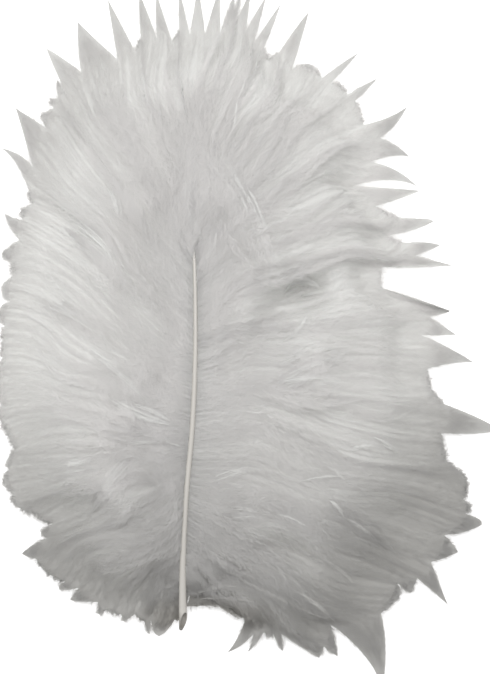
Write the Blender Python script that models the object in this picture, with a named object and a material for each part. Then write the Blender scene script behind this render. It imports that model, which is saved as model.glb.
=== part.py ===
"""A fluffy down feather lying on a table with its shaft uppermost.

It grew as one piece, so it is one solid: a round tapering shaft, and on each side of it a
vane of soft barbs that cling together in pointed locks. Shorter locks lie over the vanes.

Frame: +X to the right, +Y from the quill towards the feather's tip, +Z up. The origin is on
the table, in the middle of the feather's footprint. Sizes below are in millimetres.
"""

import math

import bmesh
import bpy
from mathutils import Vector

MM = 0.001

# Driving dimensions
CROWN_HEIGHT = 11.0  # top of the vanes, midway between shaft and rim
RIM_HEIGHT = 2.2  # middle of the thin outer rim, above the table
RIDGE_RELIEF = 0.9  # how far a lock's ridge stands above the vane's own curve
FURROW_RELIEF = 0.3  # and how far the furrow beside it lies below
RIM_BULGE = 0.12  # the rim's ridge stands this share of the way from its notches to the point
POINT_THICKNESS = 0.30  # thickness of an outer lock's free end, as a share of its width
POINT_THICKEST = 2.2  # and the most that it may be
POINT_SAG = 0.8  # how far the lowest points lie under the rim
POINT_CURL = 2.4  # how far the highest points curl up above the lowest
FULL_CROWN_REACH = 22.0  # vanes that reach less far from the shaft are lower
COVER = 3.0  # towards the tip, barbs lie this high over the shaft
COVER_START = 12.0  # from this y on
COVER_LENGTH = 8.0  # and in full after this length
OVERLOCK_WIDTH = 8.5  # widest part of a lock that lies over the vanes
OVERLOCK_RISE = 2.6  # how far it stands above the vane beneath it
OVERLOCK_ROOT = 3.2  # and how far it reaches down among that vane's barbs
FULL_OVERLOCK_REACH = 34.0  # those on a shorter vane are smaller

# Mesh fineness
VANE_ROWS = 7  # from the shaft to the rim
POINT_ROWS = 5  # from the rim to a lock's point
OVERLOCK_RINGS = 8
OVERLOCK_SIDES = 6
SHAFT_SIDES = 10
SHAFT_RINGS = 20

# Centre line of the shaft from the quill's cut end upwards: x, y, z and diameter
SHAFT = [
    (-10.9, -52.1, 2.6, 1.55),
    (-11.0, -46.5, 3.5, 1.55),
    (-10.9, -38.5, 4.9, 1.35),
    (-10.3, -27.5, 6.2, 1.15),
    (-9.2, -15.0, 6.8, 1.15),
    (-8.7, -2.5, 6.9, 1.00),
    (-8.8, 11.0, 6.6, 0.72),
    (-9.3, 22.0, 5.8, 0.50),
    (-9.1, 33.0, 4.6, 0.30),
]

# Where the barbs of successive locks leave the shaft: share of the locks, y on the shaft
ROOTS = [
    (0.00, -44.5),
    (0.20, -36.5),
    (0.40, -24.0),
    (0.50, -12.0),
    (0.63, 2.0),
    (0.73, 9.5),
    (0.84, 18.0),
    (1.00, 32.0),
]

# The way barbs leave the shaft, in degrees above square to it, by share of the locks
CLIMB = [
    (0.00, -40),
    (0.12, -36),
    (0.30, -8),
    (0.50, 18),
    (0.70, 40),
    (0.85, 62),
    (1.00, 88),
]

# The notches that both vanes share, under the quill and at the feather's tip
QUILL_NOTCH = (-10.2, -47.2)
TIP_NOTCH = (-7.1, 53.9)

# The outer locks of each vane in turn, from the quill to the feather's tip: the point of the
# lock, the notch that follows it, how far its free end bends to its left, and its taper. Above 1
# it narrows fast at first, like a horn, and below 1 it is blunt.
LEFT_LOCKS = [
    ((-14.8, -53.0), (-16.6, -50.4), 0.0, 0.6),
    ((-17.1, -52.9), (-18.5, -49.1), 0.0, 1.0),
    ((-21.2, -50.6), (-23.3, -47.9), 0.0, 1.0),
    ((-26.0, -49.1), (-27.2, -46.6), 0.0, 1.0),
    ((-31.0, -46.8), (-29.7, -44.9), 0.0, 1.0),
    ((-32.9, -44.9), (-32.9, -42.7), 0.0, 1.0),
    ((-39.5, -38.3), (-35.6, -36.1), 0.0, 0.9),
    ((-36.5, -35.0), (-34.4, -33.6), 0.0, 1.0),
    ((-37.7, -31.9), (-38.4, -30.9), 0.0, 1.0),
    ((-41.5, -29.4), (-41.4, -27.8), 0.0, 1.0),
    ((-42.7, -25.8), (-41.8, -23.7), 0.0, 0.8),
    ((-42.5, -21.4), (-40.9, -19.4), 0.0, 0.8),
    ((-44.0, -15.0), (-42.6, -12.8), 0.0, 0.8),
    ((-44.2, -10.8), (-42.8, -8.9), 0.0, 0.8),
    ((-44.2, -7.0), (-42.8, -5.0), 0.0, 0.8),
    ((-44.2, -3.0), (-42.7, -1.2), 0.0, 0.8),
    ((-44.0, 0.6), (-42.4, 2.1), 0.0, 0.8),
    ((-44.1, 5.3), (-42.0, 6.6), 0.0, 0.8),
    ((-43.3, 8.4), (-41.3, 11.4), 0.0, 0.8),
    ((-42.7, 13.5), (-40.2, 16.9), 0.0, 0.8),
    ((-42.9, 21.9), (-38.6, 23.9), 0.4, 1.2),
    ((-44.0, 33.6), (-37.6, 30.4), -1.7, 1.5),
    ((-40.6, 40.6), (-35.8, 36.8), 0.0, 1.1),
    ((-33.6, 44.5), (-31.5, 42.7), 0.0, 1.0),
    ((-35.2, 51.1), (-29.0, 47.2), 0.0, 1.0),
    ((-29.5, 55.7), (-22.4, 49.3), 0.0, 1.0),
    ((-24.2, 59.5), (-19.6, 50.9), 0.0, 1.1),
    ((-19.8, 61.1), (-15.7, 53.2), 0.8, 1.0),
    ((-16.4, 61.8), (-12.8, 52.9), 0.4, 1.2),
    ((-11.6, 62.5), (-9.6, 53.8), 0.0, 1.2),
    ((-8.5, 62.6), TIP_NOTCH, 0.0, 1.2),
]
RIGHT_LOCKS = [
    ((-7.1, -49.2), (-4.2, -49.1), 0.0, 1.0),
    ((-3.2, -56.2), (1.8, -52.7), 0.8, 1.0),
    ((0.4, -56.2), (3.6, -52.7), 0.4, 1.2),
    ((6.8, -55.9), (6.9, -52.9), 0.0, 1.1),
    ((13.4, -57.0), (14.2, -55.0), 0.0, 1.0),
    ((16.6, -57.0), (15.3, -51.1), 0.0, 1.0),
    ((24.2, -62.6), (24.4, -49.0), 2.3, 1.4),
    ((29.5, -45.7), (30.4, -42.9), 0.0, 1.0),
    ((36.1, -47.7), (33.3, -40.1), 0.0, 1.2),
    ((37.7, -38.4), (37.6, -35.1), 0.0, 0.9),
    ((42.0, -33.6), (38.8, -30.4), 0.0, 0.5),
    ((39.9, -26.9), (35.4, -18.0), 0.0, 0.6),
    ((44.2, -16.6), (32.6, -6.0), -1.6, 1.3),
    ((40.9, -4.5), (31.3, 0.2), 0.7, 1.2),
    ((37.6, 0.4), (32.6, 3.7), 0.0, 1.0),
    ((36.3, 4.6), (23.5, 10.9), -0.6, 1.5),
    ((36.1, 12.8), (30.1, 14.4), 0.5, 1.6),
    ((34.5, 16.4), (25.1, 18.2), -0.5, 1.3),
    ((33.1, 20.8), (23.0, 23.1), -1.1, 0.8),
    ((30.9, 25.8), (20.0, 26.6), 0.0, 1.0),
    ((30.3, 27.3), (22.2, 31.2), 2.4, 1.6),
    ((29.2, 32.2), (24.2, 35.4), 1.3, 1.4),
    ((28.8, 40.9), (20.8, 37.9), -1.0, 1.0),
    ((23.5, 45.9), (18.2, 43.3), 1.6, 2.2),
    ((19.9, 50.6), (9.8, 47.9), 0.0, 2.6),
    ((11.2, 57.5), (4.1, 49.8), 0.0, 1.3),
    ((6.2, 58.7), (1.6, 52.5), 0.3, 1.2),
    ((3.4, 60.0), (0.2, 55.0), 0.0, 1.0),
    ((0.9, 61.4), (-1.6, 56.1), 0.0, 1.0),
    ((-1.8, 61.2), (-4.4, 54.1), 0.0, 1.2),
    ((-4.4, 62.1), TIP_NOTCH, 0.0, 1.0),
]
LOCKS_A_SIDE = len(LEFT_LOCKS)

# Height of the crown by share of the locks, as a share of CROWN_HEIGHT
CROWN_BY_SHARE = [(0.0, 0.45), (0.22, 0.9), (0.5, 1.0), (0.8, 0.9), (1.0, 0.62)]

# Height of the vane's top between shaft (0) and rim (1), as a share of the crown's height
VANE_PROFILE = [
    (0.00, 0.00),
    (0.10, 0.42),
    (0.28, 0.86),
    (0.48, 1.00),
    (0.70, 0.80),
    (0.88, 0.40),
    (1.00, 0.00),
]
FLAT_SHARE = 0.66  # the underside lies flat on the table from the shaft to here

# The locks that lie over the vanes: every third outer lock carries one
FIRST_OVERLOCK = 2
OVERLOCK_EVERY = 3
OVERLOCKS_A_SIDE = 9
OVERLOCK_START = 0.05  # share of the way from the shaft to the outer lock's point
OVERLOCK_ENDS = (0.72, 0.86, 0.79)  # taken in turn


def between(x, table):
    """The value at x on a smooth line through the (x, value) pairs of the table."""
    if x <= table[0][0]:
        return table[0][1]
    for (x0, v0), (x1, v1) in zip(table, table[1:]):
        if x <= x1:
            u = (x - x0) / (x1 - x0)
            return v0 + (v1 - v0) * u * u * (3 - 2 * u)
    return table[-1][1]


def along_shaft(y, column):
    """x, z or the diameter of the shaft at this y, by a Catmull-Rom curve through SHAFT."""
    last = len(SHAFT) - 2
    i = next((k for k in range(last) if y <= SHAFT[k + 1][1]), last)
    p0, p1, p2, p3 = (SHAFT[min(max(k, 0), last + 1)] for k in range(i - 1, i + 3))
    u = (y - p1[1]) / (p2[1] - p1[1])
    a, b, c, d = p0[column], p1[column], p2[column], p3[column]
    bend = (2 * a - 5 * b + 4 * c - d) * u * u + (3 * b - a - 3 * c + d) * u**3
    return b + 0.5 * ((c - a) * u + bend)


def root_point(share):
    """The point of the shaft's line where barbs at this share of the locks leave it."""
    for (s0, y0), (s1, y1) in zip(ROOTS, ROOTS[1:]):
        if share <= s1:
            break
    y = y0 + (y1 - y0) * (share - s0) / (s1 - s0)
    return Vector((along_shaft(y, 0), y))


def barb_line(share, side, end):
    """The line that barbs follow on plan, from the shaft to end, as a function of 0 to 1.

    Barbs leave the shaft outwards, more towards the tip the higher they grow, then bend over
    to their end.
    """
    root, end = root_point(share), Vector(end)
    climb = math.radians(between(share, CLIMB))
    reach = (end - root).length
    leaving = Vector((side * math.cos(climb), math.sin(climb)))
    first = root + leaving * reach * 0.30
    second = root.lerp(end, 0.70) + leaving * reach * 0.06

    def line(t):
        a = root * (1 - t) ** 3 + first * 3 * t * (1 - t) ** 2
        return a + second * 3 * t * t * (1 - t) + end * t**3

    return line


def point_line(middle, point, hook):
    """The line of a lock's free end, from the middle of its rim to its hooked point."""
    point = Vector(point)
    bend = middle.lerp(point, 0.55) + hook * (point - middle).orthogonal().normalized()

    def line(t):
        return middle * (1 - t) ** 2 + bend * 2 * t * (1 - t) + point * t * t

    return line


def seam_height(y):
    """Height of the line where the two vanes meet: on the shaft, and above it near the tip."""
    return along_shaft(y, 2) + COVER * min(max((y - COVER_START) / COVER_LENGTH, 0.0), 1.0)


def vane_top(share, f, reach):
    """Height of a vane's top at f of the way out from the shaft, before any relief."""
    seam = seam_height(root_point(share).y)
    crown = CROWN_HEIGHT * between(share, CROWN_BY_SHARE) * min(1.0, reach / FULL_CROWN_REACH)
    base = seam + (RIM_HEIGHT - seam) * f
    return base + (crown - base) * between(f, VANE_PROFILE) if crown > base else base


def vane_bottom(f):
    """Height of the underside: flat on the table, then up to the rim."""
    if f <= FLAT_SHARE:
        return 0.0
    u = (f - FLAT_SHARE) / (1 - FLAT_SHARE)
    return RIM_HEIGHT * u * u


def point_lift(number):
    """How far a lock's point curls up: neighbours differ, in a steady rhythm."""
    return POINT_CURL * (0.5 + 0.5 * math.sin(2.3 * number + 0.6)) - POINT_SAG


def vane_column(make, share, line, reach, relief, thin_rim):
    """The vertices of one column of a vane, top and underside, from the first row to the rim."""
    top, bottom = [], []
    for row in range(1, VANE_ROWS + 1):
        f = row / VANE_ROWS
        at = line(f)
        if f == 1 and thin_rim:
            top.append(make(at, RIM_HEIGHT))
            bottom.append(top[-1])
            continue
        rise = relief * math.sin(math.pi * min(f * 1.15, 1.0) * 0.5)
        top.append(make(at, vane_top(share, f, reach) + rise))
        bottom.append(make(at, vane_bottom(f) - (0.45 * relief if f == 1 else 0)))
    return top, bottom


def skin(bm, near, far, flip):
    """Quads between two rows of vertices, or triangles where two of the four are one."""
    for a, b, c, d in zip(near, near[1:], far[1:], far):
        corners = list(dict.fromkeys((a, d, c, b) if flip else (a, b, c, d)))
        if len(corners) > 2:
            bm.faces.new(corners)


def add_point(bm, make, lock, number, near_top, near_bottom, flip):
    """The free end of an outer lock, on from its rim: two notches and the ridge between."""
    point, _, hook, taper = lock
    notches = [Vector((v.co.x, v.co.y)) / MM for v in (near_top[0], near_top[2])]
    middle = Vector((near_top[1].co.x, near_top[1].co.y)) / MM
    line = point_line(middle, point, hook)
    sides = [notch - middle for notch in notches]
    thick = min(POINT_THICKNESS * (notches[0] - notches[1]).length, POINT_THICKEST)
    for row in range(1, POINT_ROWS):
        f = row / POINT_ROWS
        at = line(f)
        narrow = (1 - f) ** taper
        height = RIM_HEIGHT + point_lift(number) * f * f
        edges = [make(at + side * narrow, height) for side in sides]
        upper = make(at, height + thick * narrow)
        lower = make(at, height - 0.5 * thick * narrow)
        far_top, far_bottom = [edges[0], upper, edges[1]], [edges[0], lower, edges[1]]
        skin(bm, near_top, far_top, flip)
        skin(bm, near_bottom, far_bottom, not flip)
        near_top, near_bottom = far_top, far_bottom
    end = make(Vector(point), RIM_HEIGHT + point_lift(number))
    skin(bm, near_top, [end] * 3, flip)
    skin(bm, near_bottom, [end] * 3, not flip)


def rim_middle(lock, pair):
    """Where a lock's ridge crosses the rim: between its notches, a little towards its point."""
    middle = (Vector(pair[0]) + Vector(pair[1])) / 2
    return middle.lerp(Vector(lock[0]), RIM_BULGE)


def vanes():
    """Both vanes as one closed mesh, joined along the seam under the shaft."""
    bm = bmesh.new()

    def make(at, z):
        return bm.verts.new((at.x * MM, at.y * MM, z * MM))

    columns = 2 * LOCKS_A_SIDE
    shares = [c / columns for c in range(columns + 1)]
    roots = [root_point(share) for share in shares]
    seam_top = [make(root, seam_height(root.y)) for root in roots]
    seam_bottom = [make(root, 0.0) for root in roots]

    def notch_column(c, side, end):
        reach = (Vector(end) - roots[c]).length
        line = barb_line(shares[c], side, end)
        return vane_column(make, shares[c], line, reach, -FURROW_RELIEF, True)

    first, last = notch_column(0, 0, QUILL_NOTCH), notch_column(columns, 0, TIP_NOTCH)
    for side, locks in ((-1, LEFT_LOCKS), (1, RIGHT_LOCKS)):
        flip = side > 0
        notches = [QUILL_NOTCH] + [lock[1] for lock in locks]
        made = [first]
        for number, lock in enumerate(locks):
            c = 2 * number + 1
            middle = rim_middle(lock, notches[number:number + 2])
            line = barb_line(shares[c], side, middle)
            reach = (Vector(lock[0]) - roots[c]).length
            made.append(vane_column(make, shares[c], line, reach, RIDGE_RELIEF, False))
            if c + 1 < columns:
                made.append(notch_column(c + 1, side, notches[number + 1]))
        made.append(last)

        for c in range(columns):
            for surface, seam, flipped in ((0, seam_top, flip), (1, seam_bottom, not flip)):
                near = [seam[c], *made[c][surface]]
                far = [seam[c + 1], *made[c + 1][surface]]
                skin(bm, near, far, flipped)
        for number, lock in enumerate(locks):
            rim = [made[2 * number + k] for k in range(3)]
            rim_top = [column[0][-1] for column in rim]
            rim_bottom = [column[1][-1] for column in rim]
            add_point(bm, make, lock, number, rim_top, rim_bottom, not flip)

    bmesh.ops.recalc_face_normals(bm, faces=bm.faces[:])
    return mesh_object("feather", bm)


def mesh_object(name, bm):
    """A linked object made from bm, which is used up."""
    mesh = bpy.data.meshes.new(name)
    bm.to_mesh(mesh)
    bm.free()
    mesh.shade_smooth()
    made = bpy.data.objects.new(name, mesh)
    bpy.context.scene.collection.objects.link(made)
    return made


def tube(name, stations, sides):
    """A closed tube through stations of (centre, half width, rise, depth), in millimetres."""
    bm = bmesh.new()
    rings = []
    for k, (centre, half_width, rise, depth) in enumerate(stations):
        before, after = stations[max(k - 1, 0)][0], stations[min(k + 1, len(stations) - 1)][0]
        forward = (after - before).normalized()
        across = forward.cross(Vector((0, 0, 1))).normalized()
        up = across.cross(forward)
        ring = []
        for corner in range(sides):
            turn = 2 * math.pi * corner / sides
            tall = (rise if turn < math.pi else depth) * math.sin(turn)
            wide = half_width * math.cos(turn)
            ring.append(bm.verts.new((centre + across * wide + up * tall) * MM))
        rings.append(ring)
    edges = [
        [bm.edges.new((a, b)) for a, b in zip(ring, ring[1:] + ring[:1])] for ring in rings
    ]
    for near, far in zip(edges, edges[1:]):
        bmesh.ops.bridge_loops(bm, edges=near + far)
    bm.faces.new(rings[0])
    bm.faces.new(rings[-1])
    bmesh.ops.recalc_face_normals(bm, faces=bm.faces[:])
    return mesh_object(name, bm)


def shaft():
    """The quill and rachis: one tapering round rod that sinks into the down near its tip."""
    low, high = SHAFT[0][1], SHAFT[-1][1]
    stations = []
    for k in range(SHAFT_RINGS):
        y = low + (high - low) * k / (SHAFT_RINGS - 1)
        half = 0.5 * along_shaft(y, 3)
        centre = Vector((along_shaft(y, 0), y, along_shaft(y, 2)))
        stations.append((centre, half, half, half))
    return tube("shaft", stations, SHAFT_SIDES)


def overlocks():
    """The shorter locks that lie over the vanes and give the down its waves."""
    made = []
    for side, locks in ((-1, LEFT_LOCKS), (1, RIGHT_LOCKS)):
        for turn in range(OVERLOCKS_A_SIDE):
            number = FIRST_OVERLOCK + OVERLOCK_EVERY * turn
            point = locks[number][0]
            share = (2 * number + 1) / (2 * LOCKS_A_SIDE)
            line = barb_line(share, side, point)
            reach = (Vector(point) - root_point(share)).length
            stop = OVERLOCK_ENDS[turn % len(OVERLOCK_ENDS)]
            plump = min(1.0, reach / FULL_OVERLOCK_REACH)
            stations = []
            for k in range(OVERLOCK_RINGS):
                u = k / (OVERLOCK_RINGS - 1)
                t = OVERLOCK_START + (stop - OVERLOCK_START) * u
                swell = max(math.sin(math.pi * u**0.8), 0.05)
                z = vane_top(share, t / 0.92, reach)
                at = line(t)
                half_width = 0.5 * OVERLOCK_WIDTH * swell * plump
                rise, depth = OVERLOCK_RISE * swell * plump, OVERLOCK_ROOT * swell * plump
                stations.append((Vector((at.x, at.y, z)), half_width, rise, depth))
            name = f"overlock_{'left' if side < 0 else 'right'}_{turn}"
            made.append(tube(name, stations, OVERLOCK_SIDES))
    return made


def white_down():
    """Washed white down: matt and very pale."""
    material = bpy.data.materials.new("white_down")
    material.use_nodes = True
    surface = material.node_tree.nodes["Principled BSDF"]
    surface.inputs["Base Color"].default_value = (0.74, 0.74, 0.72, 1)
    surface.inputs["Roughness"].default_value = 0.85
    surface.inputs["Metallic"].default_value = 0.0
    return material


def main():
    for old in list(bpy.data.objects):
        bpy.data.objects.remove(old)
    feather = vanes()
    joined = bpy.data.collections.new("grown_together")
    bpy.context.scene.collection.children.link(joined)
    for helper in [shaft(), *overlocks()]:
        bpy.context.scene.collection.objects.unlink(helper)
        joined.objects.link(helper)
        helper.hide_render = True
        helper.display_type = "WIRE"
    union = feather.modifiers.new("grow_together", "BOOLEAN")
    union.operation = "UNION"
    union.operand_type = "COLLECTION"
    union.collection = joined
    union.solver = "EXACT"
    feather.data.materials.append(white_down())


main()
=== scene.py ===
# %% [markdown]
# A fluffy white down feather lies on a pale table with its shaft uppermost, seen from above.
# Its form is fixed by the solid that is loaded here. This script dresses that form: it lays
# barbs over it, grows barbules along each barb, and gives them the look of washed down.

# %% Load the fixed frame
import math

import bmesh
import bpy
import numpy as np
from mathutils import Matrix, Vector


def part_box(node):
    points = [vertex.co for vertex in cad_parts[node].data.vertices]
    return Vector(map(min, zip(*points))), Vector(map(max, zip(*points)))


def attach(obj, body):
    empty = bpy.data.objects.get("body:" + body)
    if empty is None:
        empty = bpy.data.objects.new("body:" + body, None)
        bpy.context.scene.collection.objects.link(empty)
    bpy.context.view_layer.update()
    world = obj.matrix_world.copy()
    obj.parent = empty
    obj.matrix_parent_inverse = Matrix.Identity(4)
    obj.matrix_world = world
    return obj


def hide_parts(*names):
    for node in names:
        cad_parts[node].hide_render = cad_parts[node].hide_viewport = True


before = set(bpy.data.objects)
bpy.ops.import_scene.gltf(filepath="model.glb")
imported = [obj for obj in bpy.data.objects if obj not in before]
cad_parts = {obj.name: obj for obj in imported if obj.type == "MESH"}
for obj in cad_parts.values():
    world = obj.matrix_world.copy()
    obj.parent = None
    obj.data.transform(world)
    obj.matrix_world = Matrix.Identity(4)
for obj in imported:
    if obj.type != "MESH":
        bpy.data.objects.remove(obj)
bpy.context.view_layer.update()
solid_low, solid_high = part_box("feather")
MM = 0.001
print("solid, mm:", [round((high - low) / MM, 1) for low, high in zip(solid_low, solid_high)])

# %% [markdown]
# A feather has one plan for everything on it: where the shaft runs, where barbs leave it, and the pointed locks that
# the barbs end in. So the plan comes first, as short lists given in millimetres, and every later step reads it. The
# frame is the solid's own: +Y runs towards the feather's tip, and the origin is on the table in the middle of the
# footprint.

# %% The plan of the feather, in millimetres
# The shaft's centre line from the quill's cut end upwards: x, y, z and diameter
SHAFT = np.array([
    (-10.9, -52.1, 2.6, 1.55),
    (-11.0, -46.5, 3.5, 1.35),
    (-10.9, -38.5, 4.9, 1.15),
    (-10.3, -27.5, 6.2, 1.02),
    (-9.2, -15.0, 6.8, 0.95),
    (-8.7, -2.5, 6.9, 0.84),
    (-8.8, 11.0, 6.6, 0.68),
    (-9.3, 22.0, 5.8, 0.55),
    (-9.1, 33.0, 4.6, 0.30),
])
# Share of the locks passed, and the y at which barbs of that share leave the shaft
LEFT_ROOTS = [(0, -44.5), (0.12, -37), (0.25, -25), (0.45, -17), (0.55, -12), (0.7, 0), (0.84, 15), (1, 32)]
RIGHT_ROOTS = [(0, -44.5), (0.12, -38), (0.22, -29), (0.3, -20), (0.45, -5), (0.55, 5), (0.8, 20), (1, 32)]
# Share of the locks passed, and the way barbs leave the shaft, in degrees above square to it
LEFT_CLIMB = [(0, -42), (0.12, -34), (0.25, -22), (0.42, 5), (0.58, 32), (0.7, 44), (0.85, 62), (1, 88)]
RIGHT_CLIMB = [(0, -42), (0.1, -32), (0.2, -14), (0.32, 2), (0.5, 18), (0.7, 40), (0.85, 62), (1, 88)]
# Outer locks from the quill to the tip, set out on the picture's own dots (x to the right, y down):
# x, y of the point, x, y of the notch after it, the bend of its middle line to its left in
# millimetres, and its taper. Above 1 it narrows fast at first, like a horn; below 1 it is blunt.
DOT = 0.178
MIDDLE_DOT = (245, 337)
SEEN_FROM = 450  # the picture was taken from about this high, so what stands higher looks larger
RIM_SEEN = 2.2
FLUFF_SEEN = 9.5
QUILL_NOTCH = (187, 606)
LEFT_LOCKS = [
    (182, 619, 175, 619, 0.0, 0.4),
    (159, 636, 151, 620, 0.0, 0.5),
    (149, 635, 144, 620, 0.0, 1.0),
    (141, 620, 135, 614, 0.0, 0.4),
    (124, 621, 121, 614, 0.0, 1.0),
    (115, 613, 106, 610, 0.0, 0.4),
    (99, 614, 98, 602, 0.0, 1.0),
    (70, 600, 79, 588, 0.0, 1.0),
    (59, 589, 65, 581, 0.0, 1.0),
    (58, 580, 52, 575, 0.0, 0.4),
    (43, 571, 37, 559, 0.0, 0.4),
    (22, 553, 46, 538, 0.0, 0.8),
    (41, 533, 53, 523, 0.0, 1.0),
    (42, 522, 37, 513, 0.0, 0.4),
    (30, 513, 20, 508, 0.0, 0.4),
    (11, 502, 13, 495, 0.0, 0.4),
    (3, 481, 9, 469, 0.0, 0.6),
    (7, 458, 16, 449, 0.0, 0.4),
    (13, 446, 9, 437, 0.0, 0.4),
    (5, 429, 1, 421, 0.0, 0.4),
    (-2, 413, 3, 405, 0.0, 0.4),
    (-4, 392, 0, 380, 0.0, 0.4),
    (-1, 369, 3, 358, 0.0, 0.4),
    (0, 349, 4, 340, 0.0, 0.4),
    (0, 333, 5, 326, 0.0, 0.4),
    (-4, 312, 10, 302, 0.0, 0.4),
    (1, 289, 13, 276, 0.0, 0.5),
    (12, 270, 11, 263, 0.0, 0.4),
    (2, 254, 19, 240, 0.0, 0.8),
    (4, 213, 23, 220, 0.4, 1.2),
    (21, 211, 32, 204, 0.0, 0.6),
    (30, 197, 29, 191, 0.0, 0.4),
    (-2, 147, 33, 167, -1.7, 1.5),
    (16, 108, 46, 128, 0.0, 1.1),
    (41, 115, 54, 108, 0.0, 1.0),
    (50, 101, 58, 98, 0.0, 1.0),
    (57, 80, 68, 97, 0.0, 1.2),
    (46, 48, 81, 72, 0.0, 0.85),
    (78, 22, 118, 60, 0.3, 1.0),
    (108, 0, 135, 52, 0.0, 0.9),
    (139, 44, 141, 38, 0.0, 0.4),
    (139, -8, 157, 39, 0.0, 0.9),
    (156, -8, 172, 41, 0.1, 1.0),
    (177, 37, 179, 30, 0.0, 0.4),
    (179, -12, 190, 35, 0.0, 1.0),
    (198, -16, 205, 34, 0.0, 1.0),
]
RIGHT_LOCKS = [
    (205, 603, 218, 605, 0.0, 0.4),
    (233, 611, 246, 618, 0.0, 0.4),
    (227, 653, 254, 633, 0.8, 1.0),
    (247, 652, 264, 632, 0.4, 1.2),
    (270, 636, 273, 634, 0.0, 0.4),
    (283, 652, 281, 633, 0.0, 1.1),
    (319, 657, 324, 646, 0.0, 1.0),
    (338, 657, 330, 623, 0.0, 1.0),
    (382, 692, 381, 613, 2.3, 1.4),
    (399, 596, 397, 582, 0.0, 1.0),
    (411, 593, 417, 578, 0.0, 1.0),
    (448, 605, 431, 562, 0.0, 1.2),
    (458, 552, 444, 535, 0.0, 0.9),
    (482, 525, 465, 514, 0.0, 0.5),
    (470, 508, 463, 499, 0.0, 0.6),
    (469, 488, 463, 474, 0.0, 0.4),
    (455, 468, 446, 461, 0.0, 0.4),
    (442, 448, 441, 433, 0.0, 0.4),
    (498, 430, 444, 404, 0.0, 0.6),
    (437, 398, 431, 389, 0.0, 0.4),
    (428, 380, 427, 369, 0.0, 0.4),
    (475, 363, 421, 335, 0.7, 1.2),
    (456, 335, 428, 316, 0.0, 1.0),
    (450, 311, 381, 288, 0.0, 0.9),
    (376, 278, 381, 267, 0.0, 0.4),
    (452, 266, 415, 256, -0.1, 0.8),
    (441, 245, 404, 243, 0.4, 0.7),
    (393, 241, 386, 236, 0.0, 0.4),
    (433, 222, 400, 218, -0.2, 0.5),
    (386, 214, 375, 206, 0.0, 0.4),
    (420, 191, 352, 186, -0.1, 0.85),
    (418, 188, 370, 162, 2.2, 1.3),
    (410, 157, 380, 138, 1.0, 1.2),
    (407, 107, 363, 125, -1.0, 1.0),
    (361, 112, 355, 101, 0.0, 0.4),
    (378, 78, 347, 95, 0.0, 0.85),
    (341, 85, 331, 83, 0.0, 0.5),
    (359, 52, 322, 78, 0.0, 0.8),
    (309, 64, 292, 69, 0.0, 0.6),
    (309, 12, 279, 52, 0.0, 0.85),
    (272, 58, 267, 60, 0.0, 0.4),
    (267, 53, 264, 48, 0.0, 0.4),
    (281, 4, 254, 43, 0.0, 0.8),
    (266, -4, 246, 31, 0.0, 0.85),
    (251, -10, 236, 22, 0.0, 1.0),
    (241, -8, 233, 15, 0.0, 1.0),
    (235, -8, 220, 33, 0.0, 1.0),
    (220, -14, 205, 34, 0.0, 1.0),
]
print("outer locks:", len(LEFT_LOCKS), "on the left and", len(RIGHT_LOCKS), "on the right")

# %% [markdown]
# Barbs follow the plan as grain follows wood. The helpers below turn two numbers into a place:
# how far round the vane a barb grows (share, 0 at the quill and 1 at the tip) and how far out
# along it we are (out, 0 at the shaft, 1 at the rim, 2 at the point of its lock). They work on
# whole arrays at once, because there will be hundreds of thousands of such places.

# %% Places on the plan
def from_dots(dots, height):
    """x and y in millimetres of picture dots that lie this high over the table."""
    return (np.array(dots, float) - MIDDLE_DOT) * (DOT, -DOT) * (1 - height / SEEN_FROM)


VANES = {}
for side, rows, roots, climb in (
    (-1, LEFT_LOCKS, LEFT_ROOTS, LEFT_CLIMB),
    (1, RIGHT_LOCKS, RIGHT_ROOTS, RIGHT_CLIMB),
):
    rows = np.array(rows, float)
    VANES[side] = {
        "locks": len(rows),
        "point": from_dots(rows[:, :2], RIM_SEEN),
        "notch": from_dots(np.vstack([QUILL_NOTCH, rows[:, 2:4]]), RIM_SEEN),
        "hook": rows[:, 4:5],
        "taper": rows[:, 5:6],
        "roots": np.array(roots),
        "climb": climb,
    }
DRIFT = 3.2  # how far clumps of barbs are blown aside in the middle of a vane
RIM_BULGE = 0.12  # a lock's middle stands this share of the way from its notches to its point


def eased(x, table):
    """Values at x on a smooth line through the (x, value) pairs of the table."""
    xs, values = np.array(table, float).T
    i = np.clip(np.searchsorted(xs, x, "right") - 1, 0, len(xs) - 2)
    u = np.clip((x - xs[i]) / (xs[i + 1] - xs[i]), 0, 1)
    return values[i] + (values[i + 1] - values[i]) * u * u * (3 - 2 * u)


def between(lattice, u, v):
    """Values at u, v on a smooth sheet through the values of a lattice, which repeats past its edges."""
    wide, long = lattice.shape
    iu, iv = np.floor(u).astype(int), np.floor(v).astype(int)
    fu, fv = u - iu, v - iv
    fu, fv = fu * fu * (3 - 2 * fu), fv * fv * (3 - 2 * fv)
    iu, iv, next_u, next_v = iu % wide, iv % long, (iu + 1) % wide, (iv + 1) % long
    low = lattice[iu, iv] * (1 - fu) + lattice[next_u, iv] * fu
    high = lattice[iu, next_v] * (1 - fu) + lattice[next_u, next_v] * fu
    return low * (1 - fv) + high * fv


def noise(u, v, seed):
    """Smooth noise from -1 to 1 over a plane."""
    return between(np.random.default_rng(seed).uniform(-1, 1, (256, 256)), u, v)


def drift(xy):
    """A smooth sideways push at each place, as wind and handling give."""
    u, v = xy[..., 0] / 15 + 40, xy[..., 1] / 15 + 40
    return np.stack([noise(u, v, 11), noise(u, v, 12)], -1)


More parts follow.
